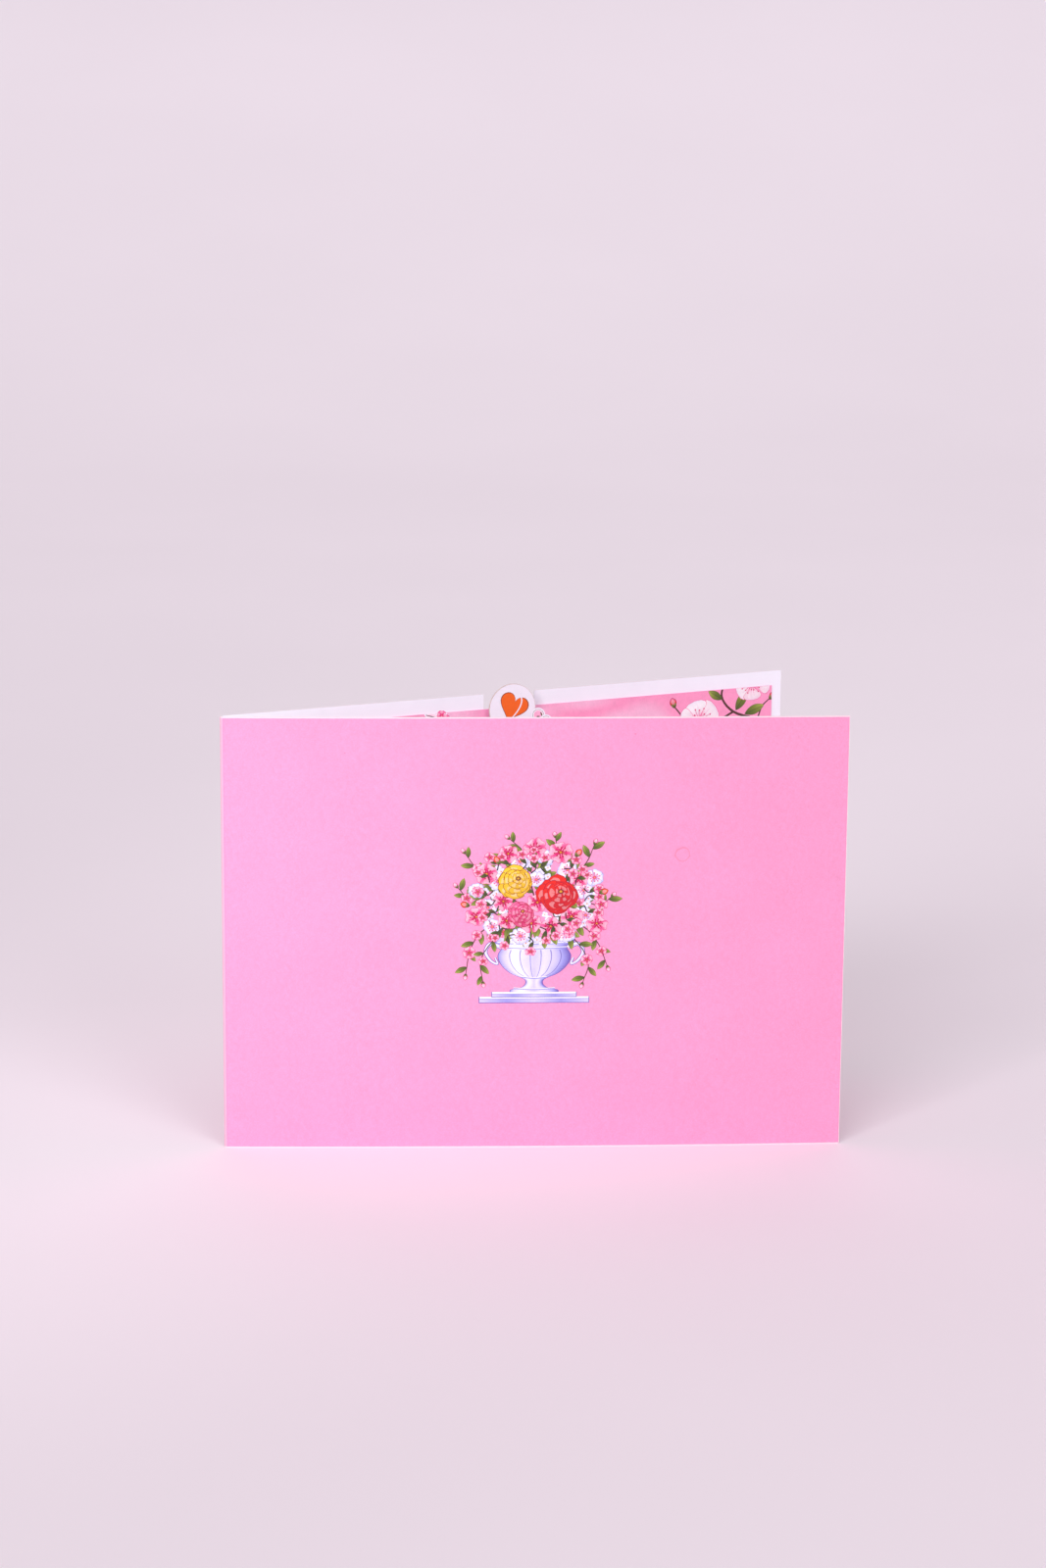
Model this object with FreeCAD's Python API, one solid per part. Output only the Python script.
import FreeCAD, Part
import math
import os

# A pop-up greeting card that stands a little open on its lower edges, like a small book.
# Millimetres, +Z up. It is built with the centre of the fold's bend on the Z axis, the front panel along +X
# and the back panel turned away from it by the opening angle. The finished card is then moved so that the
# origin is at the middle of its footprint, on the surface that it stands on.

# Cover: one folded sheet
PANEL_WIDTH = 178.0
PANEL_HEIGHT = 127.0
OPENING_ANGLE = 21.4
COVER_THICKNESS = 0.4
FRONT_BOW = 1.3
NOTCH_WIDTH = 16.2

# Printed sheet glued inside the cover, which leaves a bare border
BORDER_TOP = 4.4
BORDER_BOTTOM = 4.4
BORDER_SIDE = 3.2
INNER_THICKNESS = 0.25
INNER_BEND_RADIUS = 0.3

# Glue film between two sheets, and the gap round a sheet that only rests in another
GLUE_FILM = 0.1
FIT_GAP = 0.15

# Pop-up sheets: a glue flap, a leg to the outer crease, a leg back and a glue flap
POPUP_THICKNESS = 0.3
CREASE_RADIUS = 0.4
FLAP_LENGTH = 9.0
POPUP_STAND = 2.5
STEM_WIDTH = 2.2
PETALS = 5
PETAL_SHARE = 0.5
BLOSSOM_HEART_SHARE = 0.5
LEAF_WIDTH = 0.42
CREASE_SHARE = 0.06
INNER_POPUP_ROOT = 25.0
INNER_POPUP_LEG = 85.0
INNER_POPUP_TOP = 126.0
OUTER_POPUP_ROOT = 45.0
OUTER_POPUP_LEG = 104.0
OUTER_POPUP_TOP = 125.0

# Note card with its round tab, in a pocket on the back page
NOTE_THICKNESS = 0.3
NOTE_WIDTH = 54.0
NOTE_TOP_BELOW_EDGE = 9.0
TAB_RISE = 3.0
TAB_SIDE_GAP = 0.76
POCKET_THICKNESS = 0.25
POCKET_DEPTH = 2.3
POCKET_HEIGHT = 46.0
POCKET_BASE = 8.0
POCKET_FLAP = 6.0
POCKET_BEND_RADIUS = 0.3

# What follows from them
notch_depth = BORDER_TOP
fold_inner_radius = INNER_BEND_RADIUS + INNER_THICKNESS + GLUE_FILM
fold_radius = fold_inner_radius + COVER_THICKNESS / 2
fold_outer_radius = fold_inner_radius + COVER_THICKNESS
panel_run = PANEL_WIDTH - fold_outer_radius
bow_radius = (panel_run ** 2 / 4 + FRONT_BOW ** 2) / (2 * FRONT_BOW)
bow_half_angle = math.degrees(math.asin(panel_run / 2 / bow_radius))
page_surface = INNER_BEND_RADIUS
notch_centre = PANEL_WIDTH / 2 - fold_outer_radius
tab_radius = NOTCH_WIDTH / 2 - TAB_SIDE_GAP
tab_centre_height = PANEL_HEIGHT + TAB_RISE - tab_radius


def direction(angle):
    """Unit vector in plan, at an angle in degrees from +X."""
    turn = math.radians(angle)
    return FreeCAD.Vector(math.cos(turn), math.sin(turn), 0)


def walk(start, heading, moves):
    """Position and heading at the start of each move along a centre line, and at its end. A move is a run,
    (length,), or a bend, (radius, turn), where a positive turn is to the left."""
    spots = [(start, heading)]
    for move in moves:
        if len(move) == 1:
            start = start + direction(heading) * move[0]
        else:
            radius, turn = move
            reach_side = math.copysign(radius, turn)
            centre = start + direction(heading + 90) * reach_side
            heading += turn
            start = centre - direction(heading + 90) * reach_side
        spots.append((start, heading))
    return spots


def bent_sheet(start, heading, moves, thickness):
    """Plan of a folded sheet, with the thickness shared evenly about its centre line."""
    spots = walk(start, heading, moves)
    edges = []
    for offset in (thickness / 2, -thickness / 2):
        for (a, a_heading), (b, b_heading), move in zip(spots, spots[1:], moves):
            from_side = direction(a_heading + 90)
            to_side = direction(b_heading + 90)
            if len(move) == 1:
                edges.append(Part.makeLine(a + from_side * offset, b + to_side * offset))
                continue
            spoke = math.copysign(move[0], move[1])
            middle = a + from_side * spoke + direction((a_heading + b_heading) / 2 + 90) * (offset - spoke)
            edges.append(Part.Arc(a + from_side * offset, middle, b + to_side * offset).toShape())
    for point, angle in (spots[0], spots[-1]):
        side = direction(angle + 90) * (thickness / 2)
        edges.append(Part.makeLine(point + side, point - side))
    return Part.Face(Part.Wire(Part.__sortEdges__(edges)))


def upright(face, bottom, top):
    """The sheet whose plan is the face, standing from one height to another."""
    face = face.copy()
    face.translate(FreeCAD.Vector(0, 0, bottom))
    return face.extrude(FreeCAD.Vector(0, 0, top - bottom))


def heading_between(a, b):
    return math.degrees(math.atan2(b.y - a.y, b.x - a.x))


def creased_path(points, radius):
    """Start, heading and moves of a centre line that follows the points, with its corners rounded."""
    headings = [heading_between(a, b) for a, b in zip(points, points[1:])]
    turns = [(b - a + 180) % 360 - 180 for a, b in zip(headings, headings[1:])]
    cuts = [0] + [radius * math.tan(math.radians(abs(turn)) / 2) for turn in turns] + [0]
    moves = []
    for index in range(len(headings)):
        length = points[index].distanceToPoint(points[index + 1])
        moves.append((length - cuts[index] - cuts[index + 1],))
        if index < len(turns):
            moves.append((radius, turns[index]))
    return points[0], headings[0], moves


def bow_point(depth, heading):
    """Point of the bowed front panel, so far inside the cover's centre line, where a line that comes from the
    free edge has this heading."""
    free_end = direction(-90 - bow_half_angle) * fold_radius + FreeCAD.Vector(panel_run, 0, 0)
    centre = free_end + direction(90 + bow_half_angle) * bow_radius
    return centre + direction(heading + 90) * (bow_radius - depth)


def page_sheet(depth, margin, thickness):
    """Plan of a sheet that follows the cover through the fold, so far inside the cover's centre line."""
    first = 180 + bow_half_angle - math.degrees(margin / bow_radius)
    last = 180 - bow_half_angle
    moves = [
        (bow_radius - depth, last - first),
        (fold_radius - depth, OPENING_ANGLE - last),
        (panel_run - margin,),
    ]
    return bent_sheet(bow_point(depth, first), first, moves, thickness)


def front_page(distance, height):
    """Point on the front page at a distance from the fold, lifted off the page, and the page's direction."""
    heading = 180 - bow_half_angle + math.degrees(distance / bow_radius)
    depth = fold_radius - page_surface + height
    return bow_point(depth, heading), heading - 180


def back_page(distance, height):
    """The same on the back page."""
    side = direction(OPENING_ANGLE + 90)
    return direction(OPENING_ANGLE) * distance + side * (page_surface - height), OPENING_ANGLE


def make_cover():
    sheet = upright(page_sheet(0, 0, COVER_THICKNESS), 0, PANEL_HEIGHT)
    deep = fold_outer_radius + COVER_THICKNESS
    notch = Part.makeBox(NOTCH_WIDTH, 2 * deep, notch_depth * 2)
    notch.translate(FreeCAD.Vector(notch_centre - NOTCH_WIDTH / 2, -deep, PANEL_HEIGHT - notch_depth))
    notch.rotate(FreeCAD.Vector(0, 0, 0), FreeCAD.Vector(0, 0, 1), OPENING_ANGLE)
    return sheet.cut(notch)


def make_inner_sheet():
    depth = COVER_THICKNESS / 2 + GLUE_FILM + INNER_THICKNESS / 2
    plan = page_sheet(depth, BORDER_SIDE, INNER_THICKNESS)
    return upright(plan, BORDER_BOTTOM, PANEL_HEIGHT - BORDER_TOP)


def far_crossing(a, b, length):
    """The point at one length from two points, on the side away from the fold."""
    middle = (a + b) * 0.5
    half = a.distanceToPoint(b) / 2
    return middle + direction(heading_between(a, b) - 90) * math.sqrt(length ** 2 - half ** 2)


class Leg:
    """One leg of a pop-up sheet, cut in the flat. A place on it is given by its share of the way from the page
    crease to the outer crease, and of the sheet's height."""

    def __init__(self, length, top):
        self.length = length
        self.top = top
        self.pieces = []

    def place(self, along, up):
        rise = POPUP_STAND + up * (self.top - POPUP_STAND)
        return FreeCAD.Vector(along * self.length, -POPUP_THICKNESS / 2, rise)

    def cut_out(self, edges):
        """The sheet inside an outline."""
        face = Part.Face(Part.Wire(Part.__sortEdges__(edges)))
        return face.extrude(FreeCAD.Vector(0, POPUP_THICKNESS, 0))

    def round(self, centre, radius):
        return Part.makeCylinder(radius, POPUP_THICKNESS, centre, FreeCAD.Vector(0, 1, 0))

    def disc(self, along, up, radius):
        self.pieces.append(self.round(self.place(along, up), radius))

    def blossom(self, along, up, radius):
        """Round petals about a centre, which touch the circle of the given radius."""
        petal = radius * PETAL_SHARE
        middle = self.place(along, up)
        for index in range(PETALS):
            turn = math.radians(90 + 360 * index / PETALS)
            way = FreeCAD.Vector(math.cos(turn), 0, math.sin(turn))
            self.pieces.append(self.round(middle + way * (radius - petal), petal))
        self.pieces.append(self.round(middle, radius * BLOSSOM_HEART_SHARE))

    def leaf(self, along, up, length, angle):
        """A pointed leaf that grows from its place, at an angle from the way to the outer crease."""
        base = self.place(along, up)
        turn = math.radians(angle)
        way = FreeCAD.Vector(math.cos(turn), 0, math.sin(turn))
        across = FreeCAD.Vector(-math.sin(turn), 0, math.cos(turn))
        belly = base + way * (length / 2)
        half = length * LEAF_WIDTH / 2
        tip = base + way * length
        return self.cut_out([Part.Arc(base, belly + across * (sign * half), tip).toShape() for sign in (1, -1)])

    def stem(self, low, high):
        """A straight band between two places."""
        a, b = self.place(*low), self.place(*high)
        way = (b - a).normalize()
        across = FreeCAD.Vector(-way.z, 0, way.x) * (STEM_WIDTH / 2)
        corners = [a - across, b - across, b + across, a + across]
        return self.cut_out([Part.makeLine(*pair) for pair in zip(corners, corners[1:] + corners[:1])])

    def block(self, low, high):
        """A rectangle between two places."""
        a, b = self.place(*low), self.place(*high)
        return Part.makeBox(b.x - a.x, POPUP_THICKNESS, b.z - a.z, a)

    def cut(self, motifs):
        self.pieces.append(self.block((0, 0), (1, motifs["base"])))
        self.pieces += [self.stem(*ends) for ends in motifs["stems"]]
        self.pieces += [self.leaf(*motif) for motif in motifs["leaves"]]
        for motif in motifs["discs"]:
            self.disc(*motif)
        for motif in motifs["blossoms"]:
            self.blossom(*motif)
        sheet = self.pieces[0].multiFuse(self.pieces[1:])
        sheet = sheet.cut([self.leaf(*motif) for motif in motifs["holes"]])
        inside_strips = CREASE_SHARE / 2
        above_everything = 2
        return sheet.common(self.block((inside_strips, 0), (1 - inside_strips, above_everything)))


def popup_sheet(root, leg, top, motifs):
    """A folded sheet: a glue flap on the front page, a leg to the outer crease, a leg back and a glue flap.
    Each crease is a bent strip that reaches a little way along its legs, where the cut-out legs meet it."""
    lift = GLUE_FILM + POPUP_THICKNESS / 2
    front, front_heading = front_page(root, lift)
    back, back_heading = back_page(root, lift)
    points = [
        front - direction(front_heading) * FLAP_LENGTH,
        front,
        far_crossing(front, back, leg),
        back,
        back - direction(back_heading) * FLAP_LENGTH,
    ]
    start, heading, moves = creased_path(points, CREASE_RADIUS)
    spots = walk(start, heading, moves)
    leg_length = moves[2][0]
    lip = CREASE_SHARE * leg_length
    flap_top = POPUP_STAND + motifs["flap"] * (top - POPUP_STAND)
    crease_top = POPUP_STAND + motifs["crease"] * (top - POPUP_STAND)
    strips = (
        (spots[0], 0, [moves[0], moves[1], (lip,)], flap_top),
        (spots[3], lip, [(lip,), moves[3], (lip,)], crease_top),
        (spots[5], lip, [(lip,), moves[5], moves[6]], flap_top),
    )
    sheet = []
    for (place, way), step_back, strip_moves, height in strips:
        plan = bent_sheet(place - direction(way) * step_back, way, strip_moves, POPUP_THICKNESS)
        sheet.append(upright(plan, POPUP_STAND, height))
    flat_leg = Leg(leg_length, top).cut(motifs)
    for place, angle in (spots[2], (spots[5][0], spots[5][1] + 180)):
        folded = flat_leg.copy()
        folded.rotate(FreeCAD.Vector(0, 0, 0), FreeCAD.Vector(0, 0, 1), angle)
        folded.translate(place)
        sheet.append(folded)
    return sheet[0].multiFuse(sheet[1:]).removeSplitter()


# A blossoming bush, tallest over its stem, with one small blossom at its tip
INNER_MOTIFS = {
    "flap": 0.56,
    "crease": 0.42,
    "base": 0.17,
    "stems": (
        ((0.48, 0.50), (0.494, 0.98)), ((0.34, 0.50), (0.27, 0.86)), ((0.62, 0.48), (0.72, 0.76)),
    ),
    "discs": (
        (0.12, 0.26, 15.0), (0.36, 0.26, 17.0), (0.62, 0.26, 17.0), (0.87, 0.24, 15.0),
        (0.28, 0.45, 14.0), (0.46, 0.40, 12.0), (0.60, 0.47, 14.5),
    ),
    "blossoms": (
        (0.27, 0.87, 6.0), (0.494, 0.986, 1.5),
    ),
    "leaves": (
        (0.491, 0.978, 5.0, 165), (0.486, 0.80, 12.0, 48), (0.486, 0.80, 12.0, 132), (0.72, 0.75, 14.0, 68),
        (0.07, 0.33, 22.0, 80), (0.88, 0.31, 20.0, 78),
    ),
    "holes": (
        (0.24, 0.17, 18.0, 74), (0.49, 0.16, 18.0, 90), (0.74, 0.17, 18.0, 106),
    ),
}

# A flower hedge with leafy sprays, and one spray with a bud as tall as the card
OUTER_MOTIFS = {
    "flap": 0.46,
    "crease": 0.34,
    "base": 0.17,
    "stems": (
        ((0.482, 0.30), (0.482, 0.98)), ((0.20, 0.28), (0.19, 0.66)), ((0.74, 0.28), (0.76, 0.60)),
    ),
    "discs": (
        (0.12, 0.25, 16.0), (0.37, 0.25, 18.0), (0.63, 0.25, 18.0), (0.88, 0.22, 15.0),
        (0.482, 0.983, 2.0), (0.484, 0.960, 2.0),
    ),
    "blossoms": (
        (0.19, 0.67, 6.6), (0.76, 0.60, 6.6),
    ),
    "leaves": (
        (0.482, 0.82, 13.0, 140), (0.482, 0.80, 13.0, 42), (0.482, 0.62, 14.0, 142), (0.482, 0.60, 14.0, 40),
        (0.75, 0.44, 13.0, 42), (0.05, 0.36, 20.0, 80), (0.34, 0.34, 26.0, 96), (0.61, 0.34, 27.0, 86),
    ),
    "holes": (
        (0.24, 0.17, 17.0, 80), (0.50, 0.17, 17.0, 98), (0.74, 0.17, 16.0, 82),
    ),
}


def note_height():
    """How far the note card's middle stands off the back page, against the pocket's front wall."""
    return POCKET_DEPTH - FIT_GAP - NOTE_THICKNESS / 2


def on_back_page(solid):
    """Turns a solid drawn along +X, with the page's surface at y = 0 and the inside at -Y, onto the back page."""
    solid.translate(FreeCAD.Vector(0, page_surface, 0))
    solid.rotate(FreeCAD.Vector(0, 0, 0), FreeCAD.Vector(0, 0, 1), OPENING_ANGLE)
    return solid


def make_note_card():
    bottom = POCKET_BASE + POCKET_THICKNESS + FIT_GAP
    top = PANEL_HEIGHT - NOTE_TOP_BELOW_EDGE
    front = -note_height() - NOTE_THICKNESS / 2
    corner = FreeCAD.Vector(notch_centre - NOTE_WIDTH / 2, front, bottom)
    card = Part.makeBox(NOTE_WIDTH, NOTE_THICKNESS, top - bottom, corner)
    centre = FreeCAD.Vector(notch_centre, front, tab_centre_height)
    tab = Part.makeCylinder(tab_radius, NOTE_THICKNESS, centre, FreeCAD.Vector(0, 1, 0))
    return on_back_page(card.fuse(tab).removeSplitter())


def make_note_pocket():
    """A shallow pocket folded from one sheet: a front wall, three narrow walls and a glue flap on each."""
    wall = POCKET_THICKNESS
    half = NOTE_WIDTH / 2 + FIT_GAP + wall / 2
    glued = GLUE_FILM + wall / 2
    outer = POCKET_DEPTH + wall / 2
    points = [
        FreeCAD.Vector(notch_centre + along, -height, 0)
        for along, height in (
            (-half - POCKET_FLAP, glued), (-half, glued), (-half, outer),
            (half, outer), (half, glued), (half + POCKET_FLAP, glued),
        )
    ]
    sleeve = bent_sheet(*creased_path(points, POCKET_BEND_RADIUS), wall)
    front_and_sides = upright(sleeve, POCKET_BASE, POCKET_BASE + POCKET_HEIGHT)
    floor = Part.makeBox(
        2 * half - 2 * POCKET_BEND_RADIUS,
        POCKET_DEPTH - GLUE_FILM + wall / 2,
        wall,
        FreeCAD.Vector(notch_centre - half + POCKET_BEND_RADIUS, -outer, POCKET_BASE),
    )
    return on_back_page(front_and_sides.fuse(floor).removeSplitter())


def build():
    return {
        "cover": make_cover(),
        "inner_sheet": make_inner_sheet(),
        "popup_inner": popup_sheet(INNER_POPUP_ROOT, INNER_POPUP_LEG, INNER_POPUP_TOP, INNER_MOTIFS),
        "popup_outer": popup_sheet(OUTER_POPUP_ROOT, OUTER_POPUP_LEG, OUTER_POPUP_TOP, OUTER_MOTIFS),
        "note_card": make_note_card(),
        "note_pocket": make_note_pocket(),
    }


def main():
    pieces = build()
    box = Part.makeCompound(list(pieces.values())).BoundBox
    home = FreeCAD.Vector(-(box.XMin + box.XMax) / 2, -(box.YMin + box.YMax) / 2, -box.ZMin)
    os.makedirs("parts", exist_ok=True)
    for name, shape in pieces.items():
        shape.translate(home)
        shape.exportStep("parts/" + name + ".step")
        print(name, shape.ShapeType, len(shape.Solids), "solids", round(shape.Volume, 2), "mm3", shape.isValid())


main()
